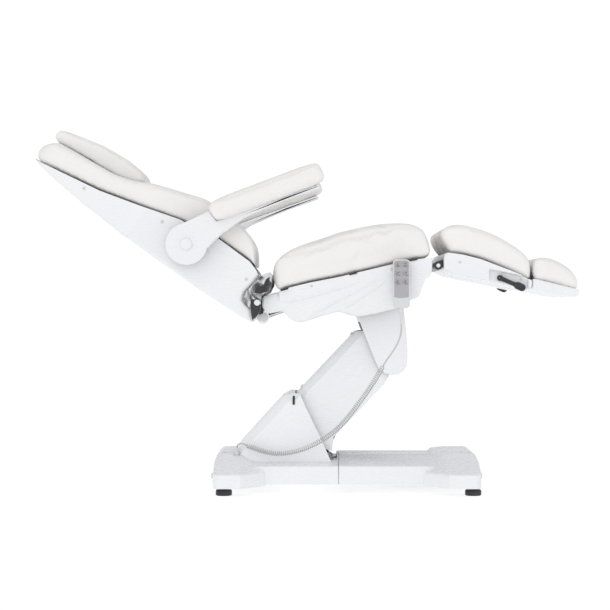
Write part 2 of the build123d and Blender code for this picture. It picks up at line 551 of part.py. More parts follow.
def back_block(u0, u1, n0, n1, y0, y1):
    """A block in the backrest's own directions."""
    return slab([along_back(u0, n0), along_back(u1, n0), along_back(u1, n1), along_back(u0, n1)],
                y0, y1)


shell -= back_block(-90, 80, -70, 38, BACK_Y - 30, BACK_Y + 30)
for side in (1, -1):
    shell -= back_block(-90, 80, -50, 38, *lane((BACK_ARM_Y[0] - 2, BACK_ARM_Y[1] + 2), side))
    shell -= back_block(-90, 90, -30, 100, *lane((HINGE_ARM_Y[0] - 4, HINGE_ARM_Y[1] + 4), side))
    shell -= rod_y(ARMREST_PIVOT, 12.3, *lane((270, 300), side))
save(shell, "back_shell")

frame = back_block(28, 690, -52, -46, -BACK_ARM_Y[1], BACK_ARM_Y[1])
ARMREST_ALONG = 273.7                     # armrest pivot, up the backrest from its own
for side in (1, -1):
    y0, y1 = lane(BACK_ARM_Y, side)
    frame += slab([along_back(-10, 20), along_back(60, 22), along_back(ARMREST_ALONG, 42),
                   along_back(ARMREST_ALONG + 40, 20), along_back(440, -46), along_back(40, -50),
                   along_back(-14, -20)], y0, y1)
    frame += rod_y(BACK_PIVOT, 24, y0, y1)
    frame -= rod_y(BACK_PIVOT, 12 + RUN, y0, y1)
    frame += rod_y(ARMREST_PIVOT, 12, *lane((BACK_ARM_Y[0], 352), side))
    frame += rod_y(ARMREST_PIVOT, 24, *lane((SEAT_HALF + 0.5, 304.5), side))
for y in (BACK_Y - 20, BACK_Y + 12):
    frame += slab([BACK_ROD_END, along_back(-20, -30), along_back(30, -50), along_back(110, -50),
                   along_back(40, 10), along_back(0, 20)], y, y + 8)
    frame += rod_y(BACK_PIVOT, 22, y, y + 8) + rod_y(BACK_ROD_END, 13, y, y + 8)
    frame -= rod_y(BACK_PIVOT, 12 + RUN, y, y + 8)
frame += rod_y(BACK_ROD_END, 5, BACK_Y - 19, BACK_Y + 19)
save(frame, "back_frame")

pillow = soften(slab([(-772, 1090), (-717, 1060), (-641, 1015), (-580, 981), (-519, 963),
                      (-497, 967), (-500, 988), (-549, 1031), (-625, 1074), (-702, 1104),
                      (-759, 1125), (-781, 1106)], -170, 170), 10)
save(pillow, "head_pillow")

# ---------------------------------------------------------------- armrests
ARMREST_BAR_Y, ARMREST_PAD_Y = (305.0, 345.0), (298.0, 390.0)
for side, name in ((-1, "near"), (1, "far")):
    y0, y1 = lane(ARMREST_PAD_Y, side)
    pad = slab([(-289, 868), (-266, 835.5), (40, 946.5), (57, 952), (62, 966), (40, 1007),
                (12, 1000), (-272, 896), (-288, 885)], y0, y1)
    save(soften(pad, 14), f"armrest_pad_{name}")
    y0, y1 = lane(ARMREST_BAR_Y, side)
    bar = rod_y(ARMREST_PIVOT, 62, y0, y1)
    bar += slab([(-391, 815), (-300, 862), (-288, 866), (-266, 835), (40, 946), (48, 938),
                 (40, 932), (-60, 897), (-180, 846), (-250, 795), (-297, 750), (-357, 740)],
                y0, y1)
    bar -= rod_y(ARMREST_PIVOT, 12 + RUN, y0, y1)
    save(bar, f"armrest_bar_{name}")

# ---------------------------------------------------------------- leg rests
LEVER_PIVOT, LEVER_GRIP, LEVER_END = (592.0, 664.0), (645.0, 641.0), (658.0, 635.0)
leg_top = [(405, 800), (416, 816), (442, 825), (473, 824), (518, 814), (564, 798), (610, 775),
           (640, 756), (665, 738), (680, 720), (687, 700), (687, 658)]
leg_seam = [(656, 674), (595, 698), (534, 721), (479, 735), (436, 741)]
leg_lower = [(428, 740), (421, 728), (421, 691), (457, 674), (534, 659), (595, 647), (640, 636),
             (676, 628), (688, 642), (688, 656)]
LEG_LUGS = ((88, 112), (188, 212))        # where the seat's lugs come between the barrels
GUIDE_Y = (80.0, 220.0)                   # guide rods of the foot section
ROD_START = (760.0, 632.0)                # the rods' foot end


def along_rod(back, up):
    """A point back along the guide rods towards the leg pivot, and above them."""
    return polar(polar(ROD_START, 180 - LEG_SLOPE, back), 90 - LEG_SLOPE, up)


for side, name in ((-1, "near"), (1, "far")):
    y0, y1 = lane((LEG_INNER + 2, LEG_OUTER), side)
    cushion = slab(leg_top + [(x, z + 0.6) for x, z in leg_seam] + [(430, 759), (414, 781)],
                   y0, y1)
    save(soften(cushion, 12), f"leg_cushion_{name}")

    y0, y1 = lane((LEG_INNER, LEG_OUTER - 2), side)
    outer = slab(leg_lower + leg_seam, y0, y1)
    shell = outer - inside_of(leg_lower + raised(leg_seam), y0 + WALL, y1 - WALL)
    # recess for the release lever, open to the side and below
    recess = [(560, 690), (678, 667), (678, 600), (560, 600)]
    shell += (slab([(556, 694), (682, 670), (682, 600), (556, 600)],
                   *lane((266, LEG_OUTER - 2), side)) & outer)
    shell -= slab(recess, *lane((270, 300), side))
    y0, y1 = lane((36, 264), side)
    shell -= slab([(410, 700), (440, 694), (440, 716), (410, 722)], y0, y1)
    for y in GUIDE_Y:
        shell -= Pos(0, side * y, 0) * bar_between(along_rod(20, 0), along_rod(110, 0), 8, 0)
    save(shell, f"leg_shell_{name}")

    y0, y1 = lane((40, 260), side)
    frame = slab([along_rod(98, 10), along_rod(354, 10), along_rod(354, 15), along_rod(98, 15)],
                 y0, y1)
    for b0, b1 in ((24, 88), (112, 188), (212, 276)):
        frame += rod_y(LEG_PIVOT, 13, *lane((b0 + 0.5, b1 - 0.5), side))
    for lug in LEG_LUGS:
        frame -= rod_y(LEG_PIVOT, 15, *lane(lug, side))
    for y in GUIDE_Y:
        for back in (88, 148):
            yy0, yy1 = lane((y - 13, y + 13), side)
            frame += slab([along_rod(back, -10), along_rod(back + 16, -10),
                           along_rod(back + 16, 12), along_rod(back, 12)], yy0, yy1)
        frame -= Pos(0, side * y, 0) * bar_between(along_rod(40, 0), along_rod(335, 0), 6 + RUN, 0)
    frame -= rod_y(LEG_PIVOT, 6 + RUN, *lane((20, 280), side))
    save(frame, f"leg_frame_{name}")

    rods = None
    for y in GUIDE_Y:
        one = Pos(0, side * y, 0) * bar_between(along_rod(0, 0), along_rod(325, 0), 6, 0)
        rods = one if rods is None else rods + one
    y0, y1 = lane((60, 240), side)
    rods += slab([along_rod(0, -5), along_rod(12, -5), along_rod(12, 5), along_rod(0, 5)], y0, y1)
    save(rods, f"foot_slide_{name}")

    y0, y1 = lane((LEG_INNER + 2, LEG_OUTER), side)
    cushion = slab([(691, 718), (708, 728), (732, 727), (756, 720), (784, 705), (811, 686),
                    (827, 665), (833, 645), (833, 629.6), (701, 661.6), (691, 663.6)], y0, y1)
    save(soften(cushion, 10), f"foot_cushion_{name}")
    y0, y1 = lane((LEG_INNER, LEG_OUTER - 2), side)
    outline = [(691, 662), (691, 630), (732, 622), (778, 613), (825, 606), (832, 615),
               (832, 629), (701, 661)]
    shell = slab(outline, y0, y1) - inside_of(outline, y0 + WALL, y1 - WALL)
    for y in GUIDE_Y:
        shell -= Pos(0, side * y, 0) * bar_between(along_rod(30, 0), along_rod(90, 0), 6.3, 0)
    save(shell, f"foot_shell_{name}")

    y0, y1 = lane((274, 284), side)
    lever = strip(LEVER_PIVOT, LEVER_END, 6.5, y0, y1)
    lever += strip(LEVER_GRIP, LEVER_END, 11, *lane((273, 287), side))
    lever += rod_y(LEVER_PIVOT, 9, y0, y1)
    lever -= rod_y(LEVER_PIVOT, 3 + RUN, y0, y1)
    save(lever, f"release_lever_{name}")


# ---------------------------------------------------------------- handset
HANDSET = (291.0, 646.0)                  # middle of the handset
HANDSET_SIZE = (50.0, 24.0, 148.0)
HANDSET_BACK = -297.0                     # its back face
STUD_Z = 684.0
handset_y = HANDSET_BACK - HANDSET_SIZE[1] / 2
front_y = HANDSET_BACK - HANDSET_SIZE[1]
body = Pos(HANDSET[0], handset_y, HANDSET[1]) * Box(*HANDSET_SIZE)
body = fillet(body.edges().filter_by(Axis.Y), 12)
body = fillet(body.faces().sort_by(Axis.Y)[0].edges(), 4)
body -= Pos(HANDSET[0], HANDSET_BACK, (560 + STUD_Z) / 2) * Box(9, 12, STUD_Z - 560)
body -= Pos(HANDSET[0], HANDSET_BACK - 3, STUD_Z) * Rot(90, 0, 0) * Cylinder(4.5, 6)
relief = Pos(HANDSET[0], handset_y - 1, 549) * Cone(4.4, 7.5, 50)
body += relief
BUTTON_X, BUTTON_Z, BUTTON_SIZE = (-11.5, 11.5), (703.0, 677.0, 651.0), (16.0, 4.0, 14.0)
BUTTON_NAMES = (("lift_up", "lift_down"), ("back_up", "back_down"), ("tilt_up", "tilt_down"))
for row, z in enumerate(BUTTON_Z):
    for column, x in enumerate(BUTTON_X):
        at = Pos(HANDSET[0] + x, front_y, z)
        body -= at * Box(BUTTON_SIZE[0] + 0.6, 11, BUTTON_SIZE[2] + 0.6)
        button = at * Pos(0, 1, 0) * Box(*BUTTON_SIZE)
        button = fillet(button.edges().filter_by(Axis.Y), 3)
        save(button, f"button_{BUTTON_NAMES[row][column]}")
save(body, "handset_shell")

holder = Pos(HANDSET[0], -(PAN_HALF + 3.5), 684) * Box(36, 7, 56)
holder = fillet(holder.edges().filter_by(Axis.Y), 6)
holder += Pos(HANDSET[0], -297, STUD_Z) * Rot(90, 0, 0) * Cylinder(4, 10)
save(holder, "handset_holder")

# ---------------------------------------------------------------- handset cord


def cord_path(points):
    """Straight runs joined by tangent arcs as large as the runs allow."""
    radii = []
    for a, b, c in zip(points, points[1:], points[2:]):
        one, two = Vector(*b) - Vector(*a), Vector(*c) - Vector(*b)
        turn = one.get_angle(two)
        radii.append(0.45 * min(one.length, two.length) / math.tan(math.radians(turn / 2)))
    path = FilletPolyline(*points, radius=radii)
    print("cord radii", [round(r) for r in radii], "length", round(path.length))
    return path


def cord_tube(points, radius):
    """A round tube along the cord's route."""
    path = cord_path(points)
    tube = sweep(Plane(origin=path @ 0, z_dir=path % 0) * Circle(radius), path=path)
    print("tube volume ratio", round(tube.volume / (math.pi * radius**2 * path.length), 4))
    return tube


LEAD_RADIUS, COIL_RADIUS = 2.4, 7.5
relief_end = (HANDSET[0], handset_y - 1, 524.0)
lead_route = [relief_end, (291, handset_y - 1, 500), (285, -311, 477), (274, -309, 455),
              (260, -304, 433), (247, -298, 416), (238, -292, 400)]
coil_route = [(238, -292, 400), (220, -280, 368), (200, -269, 334), (173, -255, 295),
              (143, -239, 253), (108, -222, 210), (66, -205, 175), (16, -190, 146),
              (-38, -181, 127), (-92, -176, 122), (-142, -172, 133), (-184, -165, 150)]
tail_route = [(-184, -165, 150), (-196, -161, 154.5), (-207, -155, 152), (-212, -150, 142)]
save(cord_tube(lead_route, LEAD_RADIUS), "cord_lead")
save(cord_tube(coil_route, COIL_RADIUS) + cord_tube(tail_route, LEAD_RADIUS), "cord_coil")
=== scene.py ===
import json
import math

import bmesh
import bpy
from mathutils import Matrix, Vector
from mathutils.bvhtree import BVHTree
from mathutils.kdtree import KDTree


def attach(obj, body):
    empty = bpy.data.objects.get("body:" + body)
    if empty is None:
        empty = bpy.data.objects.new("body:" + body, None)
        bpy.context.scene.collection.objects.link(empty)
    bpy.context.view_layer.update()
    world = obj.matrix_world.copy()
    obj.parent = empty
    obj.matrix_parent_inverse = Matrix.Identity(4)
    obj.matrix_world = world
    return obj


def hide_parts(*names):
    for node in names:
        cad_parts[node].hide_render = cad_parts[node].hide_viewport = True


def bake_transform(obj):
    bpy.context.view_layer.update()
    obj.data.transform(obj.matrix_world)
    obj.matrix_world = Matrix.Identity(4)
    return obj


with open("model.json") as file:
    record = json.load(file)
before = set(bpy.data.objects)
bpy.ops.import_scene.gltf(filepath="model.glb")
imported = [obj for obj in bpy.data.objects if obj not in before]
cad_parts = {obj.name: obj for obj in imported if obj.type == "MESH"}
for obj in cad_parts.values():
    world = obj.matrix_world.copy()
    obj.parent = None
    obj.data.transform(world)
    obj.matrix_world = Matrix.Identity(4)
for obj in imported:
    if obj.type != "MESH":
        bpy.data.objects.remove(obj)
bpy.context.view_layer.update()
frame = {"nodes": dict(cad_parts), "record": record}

# An electric facial treatment bed, dressed around its CAD frame. All sizes are in metres.
MM = 0.001
scene = bpy.context.scene
NODE_SLOT = {row["node"]: row["material_slot"] for row in frame["record"]["subparts"]}

# ---------------------------------------------------------------- camera
CAMERA_DISTANCE = 6.45
EYE_HEIGHT = 0.582

camera = bpy.data.objects.new("camera", bpy.data.cameras.new("camera"))
camera.data.lens = 120
camera.data.sensor_width = 36
camera.location = (0, -CAMERA_DISTANCE, EYE_HEIGHT)
camera.rotation_euler = (math.radians(90), 0, 0)
scene.collection.objects.link(camera)
scene.camera = camera


# ---------------------------------------------------------------- node helpers for materials
def new_material(name):
    """A Principled material and the two things that its builders need: nodes and shader."""
    material = bpy.data.materials.new(name)
    material.use_nodes = True
    tree = material.node_tree
    return material, tree, tree.nodes["Principled BSDF"]


def add(tree, kind, **values):
    """A node with its properties and input values set."""
    node = tree.nodes.new(kind)
    for key, value in values.items():
        if key in node.inputs:
            node.inputs[key].default_value = value
        else:
            setattr(node, key, value)
    return node


def link(tree, out, into):
    tree.links.new(out, into)


def noise(tree, scale, detail=2.0, stretch=None, distortion=0.0):
    """Noise in the object's own coordinates, with features of about 1 / scale metres."""
    place = add(tree, "ShaderNodeTexCoord").outputs["Object"]
    if stretch:
        mapping = add(tree, "ShaderNodeMapping")
        mapping.inputs["Scale"].default_value = stretch
        link(tree, place, mapping.inputs["Vector"])
        place = mapping.outputs["Vector"]
    node = add(tree, "ShaderNodeTexNoise", Scale=scale, Detail=detail, Distortion=distortion)
    link(tree, place, node.inputs["Vector"])
    return node.outputs["Fac"]


def cells(tree, scale, feature="F1"):
    """Voronoi distance in the object's own coordinates."""
    place = add(tree, "ShaderNodeTexCoord").outputs["Object"]
    node = add(tree, "ShaderNodeTexVoronoi", feature=feature, Scale=scale)
    link(tree, place, node.inputs["Vector"])
    return node.outputs["Distance"]


def ramp(tree, value, low, high, to_low=0.0, to_high=1.0):
    """Maps a value's range onto another one, clamped."""
    node = add(tree, "ShaderNodeMapRange")
    link(tree, value, node.inputs["Value"])
    for socket, number in zip(("From Min", "From Max", "To Min", "To Max"),
                              (low, high, to_low, to_high)):
        node.inputs[socket].default_value = number
    return node.outputs["Result"]


def mix_colour(tree, factor, first, second):
    """A colour between two, each an RGB triple or a socket."""
    node = add(tree, "ShaderNodeMix", data_type="RGBA")
    link(tree, factor, node.inputs["Factor"])
    for socket, colour in ((node.inputs[6], first), (node.inputs[7], second)):
        if isinstance(colour, tuple):
            socket.default_value = (*colour, 1)
        else:
            link(tree, colour, socket)
    return node.outputs[2]


def bump(tree, height, distance, strength=1.0, under=None):
    """A bump of so many metres, on top of another normal if one is given."""
    node = add(tree, "ShaderNodeBump", Strength=strength, Distance=distance)
    link(tree, height, node.inputs["Height"])
    if under:
        link(tree, under, node.inputs["Normal"])
    return node.outputs["Normal"]


def edges(tree, low=0.52, high=0.6):
    """1 on convex edges, 0 elsewhere."""
    return ramp(tree, add(tree, "ShaderNodeNewGeometry").outputs["Pointiness"], low, high)


# ---------------------------------------------------------------- materials
def leatherette(name, light, shade, grain=1000.0, polish=0.0):
    """Soft upholstery: pebbled grain, fine creases, slow waves and hand-worn gloss."""
    material, tree, shader = new_material(name)
    patches = ramp(tree, noise(tree, 9, 3), 0.3, 0.7)
    colour = mix_colour(tree, patches, light, shade)
    link(tree, mix_colour(tree, ramp(tree, cells(tree, grain), 0.25, 0.75, 0, 0.35), colour,
                          tuple(c * 0.86 for c in shade)), shader.inputs["Base Color"])
    link(tree, ramp(tree, noise(tree, 16, 4), 0.3, 0.7, 0.40 - polish, 0.56 - polish),
         shader.inputs["Roughness"])
    waves = bump(tree, noise(tree, 22, 2, distortion=0.6), 0.0011, 0.35)
    creases = bump(tree, noise(tree, 190, 3, distortion=1.5), 0.00025, 0.35, waves)
    link(tree, bump(tree, cells(tree, grain), 0.00016, 0.55, creases), shader.inputs["Normal"])
    shader.inputs["Specular IOR Level"].default_value = 0.42
    shader.inputs["Sheen Weight"].default_value = 0.08
    shader.inputs["Sheen Roughness"].default_value = 0.5
    return material


def moulded(name, colour, dusk, rough=(0.27, 0.285), texture=0.00002, scale=420.0, metal=0.0):
    """Moulded or painted shell: orange peel, faint scuffs, lighter worn edges."""
    material, tree, shader = new_material(name)
    tone = mix_colour(tree, ramp(tree, noise(tree, 5, 3), 0.3, 0.7), colour, dusk)
    brighter = tuple(min(1.0, c * 1.02) for c in colour)
    worn = mix_colour(tree, edges(tree, 0.62, 0.8), tone, brighter)
    link(tree, worn, shader.inputs["Base Color"])
    scuffs = noise(tree, 60, 5, stretch=(1, 1, 7), distortion=0.4)
    link(tree, ramp(tree, scuffs, 0.35, 0.75, rough[0], rough[1]), shader.inputs["Roughness"])
    slow = bump(tree, noise(tree, 7, 1), 0.0005, 0.06)
    link(tree, bump(tree, noise(tree, scale, 2), texture, 0.12, slow), shader.inputs["Normal"])
    shader.inputs["Metallic"].default_value = metal
    shader.inputs["Specular IOR Level"].default_value = 0.5
    return material


def brushed(name, colour, stretch, rough=(0.2, 0.38)):
    """Ground or drawn metal with lines along one direction."""
    material, tree, shader = new_material(name)
    lines = noise(tree, 70, 5, stretch=stretch)
    tone = mix_colour(tree, ramp(tree, lines, 0.3, 0.7), colour, tuple(c * 0.72 for c in colour))
    link(tree, mix_colour(tree, edges(tree), tone, (0.9, 0.9, 0.91)), shader.inputs["Base Color"])
    link(tree, ramp(tree, lines, 0.3, 0.7, rough[0], rough[1]), shader.inputs["Roughness"])
    link(tree, bump(tree, lines, 0.00008, 0.5), shader.inputs["Normal"])
    shader.inputs["Metallic"].default_value = 1.0
    return material


def mirror_plate_painted_reflections(name, dark, bright):
    """Mirror-ground plate: broad dark and bright bands painted into the colour as reflections,
    hairlines and small dull spots.
    """
    material, tree, shader = new_material(name)
    # painted reflection: the broad dark and bright bands in the base colour stand for mirrored
    # surroundings
    bands = ramp(tree, noise(tree, 26, 3, stretch=(1, 1, 0.6), distortion=2.2), 0.42, 0.6)
    lines = noise(tree, 90, 4, stretch=(1, 1, 12))
    tone = mix_colour(tree, bands, dark, bright)
    link(tree, mix_colour(tree, ramp(tree, lines, 0.45, 0.8, 0, 0.4), tone, (0.5, 0.5, 0.52)),
         shader.inputs["Base Color"])
    link(tree, ramp(tree, lines, 0.3, 0.7, 0.12, 0.26), shader.inputs["Roughness"])
    link(tree, bump(tree, lines, 0.00005, 0.4), shader.inputs["Normal"])
    shader.inputs["Metallic"].default_value = 1.0
    return material


def grained(name, colour, rough, scale=900.0, depth=0.00012, dust=0.25):
    """Fine spark-eroded plastic or rubber, with dust caught in its texture."""
    material, tree, shader = new_material(name)
    dusty = tuple(min(1.0, c * (1 + dust) + 0.012) for c in colour)
    link(tree, mix_colour(tree, ramp(tree, noise(tree, 26, 5), 0.4, 0.75), colour, dusty),
         shader.inputs["Base Color"])
    link(tree, ramp(tree, noise(tree, 90, 3), 0.3, 0.7, rough - 0.07, rough + 0.08),
         shader.inputs["Roughness"])
    link(tree, bump(tree, cells(tree, scale), depth, 0.6), shader.inputs["Normal"])
    return material


WHITE_WARM, WHITE_SHADE = (0.885, 0.875, 0.855), (0.855, 0.845, 0.825)
SHELL_WHITE, SHELL_SHADE = (0.845, 0.848, 0.865), (0.825, 0.828, 0.848)

LOOKS = {
    "leatherette": leatherette("leatherette", WHITE_WARM, WHITE_SHADE),
    "shell": moulded("shell", SHELL_WHITE, SHELL_SHADE),
    "steel": moulded("powder_coat", (0.78, 0.79, 0.80), (0.74, 0.75, 0.76), (0.38, 0.5),
                     0.00008, 900),
    # the ground steel's dark and bright colours are painted reflections
    "bracket": mirror_plate_painted_reflections("ground_steel_painted_reflection", (0.07, 0.07, 0.075), (0.78, 0.78, 0.80)),
    "darksteel": moulded("black_coat", (0.022, 0.022, 0.024), (0.03, 0.03, 0.032), (0.3, 0.42),
                         0.00006, 900),
    "bright": brushed("drawn_steel", (0.78, 0.78, 0.80), (1, 9, 1), (0.08, 0.2)),
    "black": grained("black_plastic", (0.018, 0.018, 0.02), 0.5),
    "motor": grained("motor_housing", (0.05, 0.05, 0.055), 0.45),
    "grey": grained("handset_grey", (0.66, 0.66, 0.67), 0.42, 1300, 0.00006, 0.04),
    "keys": grained("key_grey", (0.39, 0.38, 0.40), 0.5, 1300, 0.00005, 0.05),
    "cordskin": grained("cord_sheath", (0.50, 0.50, 0.50), 0.38, 1500, 0.00003, 0.06),
}
thread_look = grained("thread", (0.80, 0.79, 0.77), 0.7, 2600, 0.0001, 0.05)
panel_look = grained("keypad_panel", (0.40, 0.39, 0.41), 0.35, 1600, 0.00003, 0.04)
icon_look = grained("keypad_icons", (0.10, 0.10, 0.11), 0.4, 1600, 0.00002, 0.04)
floor_look = grained("floor", (0.36, 0.36, 0.36), 0.75, 60, 0.0001, 0.0)
floor_shader = floor_look.node_tree.nodes["Principled BSDF"]
floor_shader.inputs["Emission Color"].default_value = (1, 1, 1, 1)
floor_shader.inputs["Emission Strength"].default_value = 0.76
floor_shader.inputs["Specular IOR Level"].default_value = 0.0

for node, obj in frame["nodes"].items():
    for material_slot in obj.material_slots:
        material_slot.material = LOOKS[NODE_SLOT[node]]


# ---------------------------------------------------------------- mesh helpers
def finish_piece(name, mesh, look, body=None, stands_for=(), smooth=35):
    """Makes the mesh a piece with a material, riding on a body."""
    for attribute in ("custom_normal", "sharp_face", "sharp_edge"):
        if attribute in mesh.attributes:
            mesh.attributes.remove(mesh.attributes[attribute])
    obj = bpy.data.objects.new(name, mesh)
    scene.collection.objects.link(obj)
    mesh.materials.clear()
    mesh.materials.append(look)
    for face in mesh.polygons:
        face.use_smooth = True
    mesh.set_sharp_from_angle(angle=math.radians(smooth))
    if stands_for:
        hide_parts(*stands_for)
    if body:
        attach(obj, body)
    return obj


def to_mesh(bm, name):
    """Turns a bmesh into a mesh with outward normals, and frees it."""
    bmesh.ops.recalc_face_normals(bm, faces=bm.faces)
    mesh = bpy.data.meshes.new(name)
    bm.to_mesh(mesh)
    bm.free()
    return mesh


def cad_bmesh(node):
    """A welded copy of a CAD node's mesh, its flat faces joined up again."""
    bm = bmesh.new()
    bm.from_mesh(frame["nodes"][node].data)
    bmesh.ops.remove_doubles(bm, verts=bm.verts, dist=0.02 * MM)
    bmesh.ops.dissolve_limit(bm, angle_limit=math.radians(1.2), verts=bm.verts, edges=bm.edges)
    return bm


WALL_WIDTH = 0.0065            # a face narrower than this is the rim of a moulding's wall
# beyond these X the covers have strips too thin to round: at the well and on the column's top
SHARP_BEYOND = {"base_cover_head": 97 * MM, "column_cover": -46 * MM}


def rounded_shell(node, body, radius):
    """Replaces a moulded cover with one whose outer edges are rounded; its rims are left
    unrounded.
    """
    bm = cad_bmesh(node)
    width = {face: 2 * face.calc_area() / face.calc_perimeter() for face in bm.faces}
    outer, rims = [], []
    for edge in bm.edges:
        if len(edge.link_faces) != 2 or not edge.is_convex:
            continue
        if not math.radians(22) < edge.calc_face_angle() < math.radians(130):
            continue
        if min(v.co.x for v in edge.verts) > SHARP_BEYOND.get(node, math.inf):
            continue
        narrow = min(width[face] for face in edge.link_faces) < WALL_WIDTH
        (rims if narrow else outer).append(edge)
    if outer:
        bmesh.ops.bevel(bm, geom=outer, offset=radius, offset_type="OFFSET", segments=5,
                        profile=0.5, affect="EDGES", clamp_overlap=False)
    name = f"{node}_moulding"
    obj = finish_piece(name, to_mesh(bm, name), LOOKS["shell"], body, (node,), 40)
    normals = obj.modifiers.new("even_normals", "WEIGHTED_NORMAL")
    normals.keep_sharp = True
    normals.weight = 80
    return obj


def evaluated_mesh(obj):
    """The object's mesh with its modifiers applied, and the modifiers gone."""
    depsgraph = bpy.context.evaluated_depsgraph_get()
    mesh = bpy.data.meshes.new_from_object(obj.evaluated_get(depsgraph))
    obj.modifiers.clear()
    obj.data = mesh
    return mesh


# ---------------------------------------------------------------- cushions
VOXEL = 6 * MM


def puff(obj, pressure, cap):
    """Blows the cover up over its foam with a short cloth simulation."""
    before = [v.co.copy() for v in obj.data.vertices]
    cloth = obj.modifiers.new("cover", "CLOTH")
    cloth.settings.quality = 4
    cloth.settings.mass = 0.35
    cloth.settings.tension_stiffness = 20
    cloth.settings.compression_stiffness = 20
    cloth.settings.bending_stiffness = 1.5
    cloth.settings.use_pressure = True
    cloth.settings.uniform_pressure_force = pressure
    cloth.settings.effector_weights.gravity = 0
    cloth.point_cache.frame_start, cloth.point_cache.frame_end = 1, 20
    for step in range(1, 21):
        scene.frame_set(step)
    mesh = evaluated_mesh(obj)
    for vertex, rest in zip(mesh.vertices, before):
        move = vertex.co - rest
        if move.length > cap:
            vertex.co = rest + move * (cap / move.length)
    scene.frame_set(1)


def rounded_block(node, name, smoothing, warp=None):
    """A cushion's CAD solid as an even mesh with its edges rounded off, in its old box."""
    bm = bmesh.new()
    bm.from_mesh(frame["nodes"][node].data)
    bmesh.ops.remove_doubles(bm, verts=bm.verts, dist=0.02 * MM)
    obj = bpy.data.objects.new(name, to_mesh(bm, name))
    scene.collection.objects.link(obj)
    remesh = obj.modifiers.new("even", "REMESH")
    remesh.mode = "VOXEL"
    remesh.voxel_size = VOXEL
    soften = obj.modifiers.new("soften", "SMOOTH")
    soften.factor = 0.5
    soften.iterations = smoothing
    mesh = evaluated_mesh(obj)
    if warp:
        for vertex in mesh.vertices:
            vertex.co = warp(vertex.co.copy())
    return obj


def surface_of(mesh):
    """A mesh's faces, ready for ray casts."""
    return BVHTree.FromPolygons([v.co for v in mesh.vertices],
                                [f.vertices[:] for f in mesh.polygons])


def fit_box(mesh, node, tilt=0.0, shrink=0.0):
    """Scales a mesh back to its CAD node's extents, measured along tilted axes."""
    turn = Matrix.Rotation(tilt, 3, "Y")
    back = turn.transposed()
    source = [turn @ v.co for v in frame["nodes"][node].data.vertices]
    points = [turn @ v.co for v in mesh.vertices]
    for axis in range(3):
        want = (min(p[axis] for p in source) + shrink, max(p[axis] for p in source) - shrink)
        have = (min(p[axis] for p in points), max(p[axis] for p in points))
        rate = (want[1] - want[0]) / (have[1] - have[0])
        for point in points:
            point[axis] = want[0] + (point[axis] - have[0]) * rate
    for vertex, point in zip(mesh.vertices, points):
        vertex.co = back @ point


def cushion(node, body, tilt=0.0, smoothing=26, shrink=3 * MM, cap=5 * MM, warp=None,
            seam_inset=9 * MM, corner=0.05):
    """A padded piece in place of a CAD block: puffed cover, sewn seam round its top."""
    name = f"{node}_cover"
    obj = rounded_block(node, name, smoothing, warp)
    fit_box(obj.data, node, tilt, shrink)
    puff(obj, 4.0, cap)
    fine = obj.modifiers.new("fine", "SUBSURF")
    fine.levels = fine.render_levels = 1
    mesh = evaluated_mesh(obj)
    seam = top_seam(mesh, tilt, seam_inset, corner)
    press_seam(mesh, seam)
    mesh.materials.clear()
    mesh.materials.append(LOOKS["leatherette"])
    for face in mesh.polygons:
        face.use_smooth = True
    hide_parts(node)
    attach(obj, body)
    stitches(f"{node}_stitches", mesh, seam, body)
    return obj


SEAM_STEP = 7 * MM


def top_seam(mesh, tilt, inset, corner):
    """Points round the top of a cushion, just inside its edge, seen along its own up axis."""
    turn = Matrix.Rotation(tilt, 3, "Y")
    back = turn.transposed()
    points = [turn @ v.co for v in mesh.vertices]
    low = [min(p[i] for p in points) for i in range(3)]
    high = [max(p[i] for p in points) for i in range(3)]
    tree = surface_of(mesh)
    x0, x1, y0, y1 = low[0] + inset, high[0] - inset, low[1] + inset, high[1] - inset
    corner = min(corner, (x1 - x0) / 3, (y1 - y0) / 3)
    ring = []
    for cx, cy, start in ((x1 - corner, y1 - corner, 0), (x0 + corner, y1 - corner, 90),
                          (x0 + corner, y0 + corner, 180), (x1 - corner, y0 + corner, 270)):
        for step in range(9):
            angle = math.radians(start + step * 90 / 8)
            ring.append(Vector((cx + corner * math.cos(angle), cy + corner * math.sin(angle), 0)))
    ring.append(ring[0].copy())
    line = even_points(ring, SEAM_STEP)
    seam = []
    down = back @ Vector((0, 0, -1))
    for point in line:
        start = back @ Vector((point.x, point.y, high[2] + 0.05))
        hit, normal, _, _ = tree.ray_cast(start, down)
        if hit is not None:
            seam.append((hit, normal))
    return seam


def even_points(line, step):
    """Points at equal steps along a polyline."""
    out, spare = [line[0].copy()], 0.0
    for a, b in zip(line, line[1:]):
        length = (b - a).length
        at = step - spare
        while at <= length:
            out.append(a.lerp(b, at / length))
            at += step
        spare = length - (at - step)
    return out


GROOVE_DEPTH, GROOVE_WIDTH = 1.6 * MM, 4.5 * MM


def press_seam(mesh, seam):
    """Sinks the cover along the seam, as the thread pulls it in."""
    fine = []
    for (a, _), (b, _) in zip(seam, seam[1:] + seam[:1]):
        if (b - a).length < 6 * SEAM_STEP:
            fine += [a.lerp(b, k / 4) for k in range(4)]
    tree = KDTree(len(fine))
    for index, point in enumerate(fine):
        tree.insert(point, index)
    tree.balance()
    moves = []
    for vertex in mesh.vertices:
        _, _, distance = tree.find(vertex.co)
        if distance < 3 * GROOVE_WIDTH:
            moves.append((vertex, vertex.normal.copy(), distance))
    for vertex, normal, distance in moves:
        vertex.co -= normal * GROOVE_DEPTH * math.exp(-((distance / GROOVE_WIDTH) ** 2))


THREAD = 0.55 * MM
STITCH_OFFSET = 3.2 * MM


